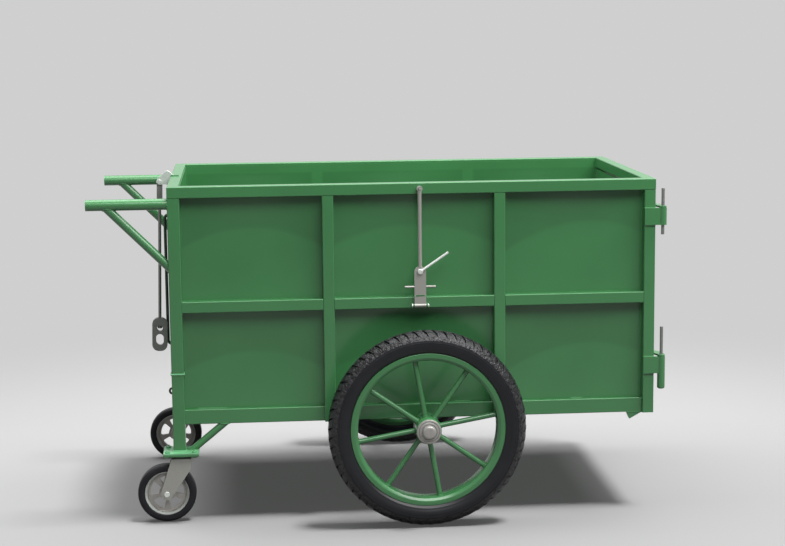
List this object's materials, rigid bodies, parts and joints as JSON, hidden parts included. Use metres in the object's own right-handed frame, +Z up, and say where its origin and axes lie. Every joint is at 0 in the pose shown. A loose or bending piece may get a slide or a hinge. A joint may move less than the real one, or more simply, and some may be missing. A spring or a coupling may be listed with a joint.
{
  "type": "trash push cart",
  "caption": "Open box hand cart of green tube and sheet steel on spoked wheels, with swivel casters, push handles and a hinged end gate, for collecting rubbish.",
  "frame": {"origin": "middle of the overall box, on the floor", "axes": "+X from the handles to the gate end, +Y to the left of someone pushing, +Z up"},
  "size_m": [1.779, 1.202, 1.055],
  "materials": {
    "green_paint": "satin green enamel",
    "bare_steel": "zinc plated steel, dull",
    "dark_steel": "dark oiled steel",
    "hub_grey": "grey enamel",
    "cast_core": "as cast",
    "tyre_rubber": "black tyre rubber",
    "caster_rubber": "black solid rubber"
  },
  "bodies": {
    "cart": {"top_rails": "green_paint", "handle_posts": "green_paint", "gate_posts": "green_paint", "side_posts": "green_paint", "mid_rails": "green_paint", "bottom_rails": "green_paint", "handle_end_frame": "green_paint", "side_sheet_right": "green_paint", "side_sheet_left": "green_paint", "handle_end_sheet": "green_paint", "floor_sheet": "green_paint", "floor_bearers": "green_paint", "axle": "dark_steel", "axle_nuts": "bare_steel", "axle_brackets": "dark_steel", "legs": "green_paint", "leg_braces": "green_paint", "foot_plates": "green_paint", "handles": "green_paint", "handle_braces": "green_paint", "hinge_straps": "green_paint", "hinge_pins": "green_paint", "tipping_lugs": "green_paint", "caster_plates": "green_paint", "caster_bolts": "green_paint", "caster_kingpins": "dark_steel", "bolt_keeper": "green_paint", "latch_stud": "bare_steel", "latch_base": "bare_steel", "end_bracket": "bare_steel", "end_keepers": "dark_steel"},
    "wheel_right": {"wheel_tyre_right": "tyre_rubber", "wheel_rim_right": "green_paint", "wheel_spokes_right": "green_paint", "wheel_hub_right": "green_paint", "hub_cap_right": "hub_grey", "wheel_bearings_right": "bare_steel"},
    "caster_right": {"caster_fork_right": "bare_steel", "caster_axle_right": "bare_steel"},
    "caster_wheel_right": {"caster_core_right": "cast_core", "caster_tyre_right": "caster_rubber"},
    "wheel_left": {"wheel_tyre_left": "tyre_rubber", "wheel_rim_left": "green_paint", "wheel_spokes_left": "green_paint", "wheel_hub_left": "green_paint", "hub_cap_left": "hub_grey", "wheel_bearings_left": "bare_steel"},
    "caster_left": {"caster_fork_left": "bare_steel", "caster_axle_left": "bare_steel"},
    "caster_wheel_left": {"caster_core_left": "cast_core", "caster_tyre_left": "caster_rubber"},
    "gate": {"gate_frame": "green_paint", "gate_sheet": "green_paint", "gate_eyes": "green_paint", "bolt_guides": "green_paint"},
    "gate_bolt": {"gate_bolt": "bare_steel"},
    "latch_bar": {"latch_bar": "bare_steel"},
    "latch_lever": {"latch_lever": "bare_steel"},
    "end_rod": {"end_rod": "bare_steel"},
    "swivel_link": {"swivel_link": "bare_steel"}
  },
  "joints": [
    {"name": "wheel_right_spin", "type": "hinge", "parent": "cart", "child": "wheel_right", "pos_m": [0.1285, -0.53, 0.302], "axis": [0, 1, 0], "continuous": true},
    {"name": "caster_right_swivel", "type": "hinge", "parent": "cart", "child": "caster_right", "pos_m": [-0.6215, -0.3925, 0.205], "axis": [0, 0, 1], "continuous": true},
    {"name": "caster_right_roll", "type": "hinge", "parent": "caster_right", "child": "caster_wheel_right", "pos_m": [-0.6685, -0.3925, 0.09], "axis": [0, 1, 0], "continuous": true},
    {"name": "wheel_left_spin", "type": "hinge", "parent": "cart", "child": "wheel_left", "pos_m": [0.1285, 0.53, 0.302], "axis": [0, 1, 0], "continuous": true},
    {"name": "caster_left_swivel", "type": "hinge", "parent": "cart", "child": "caster_left", "pos_m": [-0.6215, 0.3925, 0.205], "axis": [0, 0, 1], "continuous": true},
    {"name": "caster_left_roll", "type": "hinge", "parent": "caster_left", "child": "caster_wheel_left", "pos_m": [-0.6685, 0.3925, 0.09], "axis": [0, 1, 0], "continuous": true},
    {"name": "gate_swing", "type": "hinge", "parent": "cart", "child": "gate", "pos_m": [0.8775, -0.408, 0.7], "axis": [0, 0, -1], "range_deg": [0, 210]},
    {"name": "gate_bolt_slide", "type": "slide", "parent": "gate", "child": "gate_bolt", "axis": [0, 1, 0], "range_m": [0, 0.04]},
    {"name": "latch_swing", "type": "hinge", "parent": "cart", "child": "latch_bar", "pos_m": [0.1205, -0.422, 0.662], "axis": [1, 0, 0], "range_deg": [0, 100]},
    {"name": "latch_lever_turn", "type": "hinge", "parent": "latch_bar", "child": "latch_lever", "pos_m": [0.1205, -0.422, 0.768], "axis": [0, 1, 0], "range_deg": [-25, 95]},
    {"name": "end_rod_swing", "type": "hinge", "parent": "cart", "child": "end_rod", "pos_m": [-0.6815, -0.035, 1.021], "axis": [0, 1, 0], "range_deg": [0, 80]},
    {"name": "link_swivel", "type": "hinge", "parent": "end_rod", "child": "swivel_link", "pos_m": [-0.69331, -0.035, 0.57015], "axis": [0.0262, 0, 0.9997], "continuous": true}
  ]
}
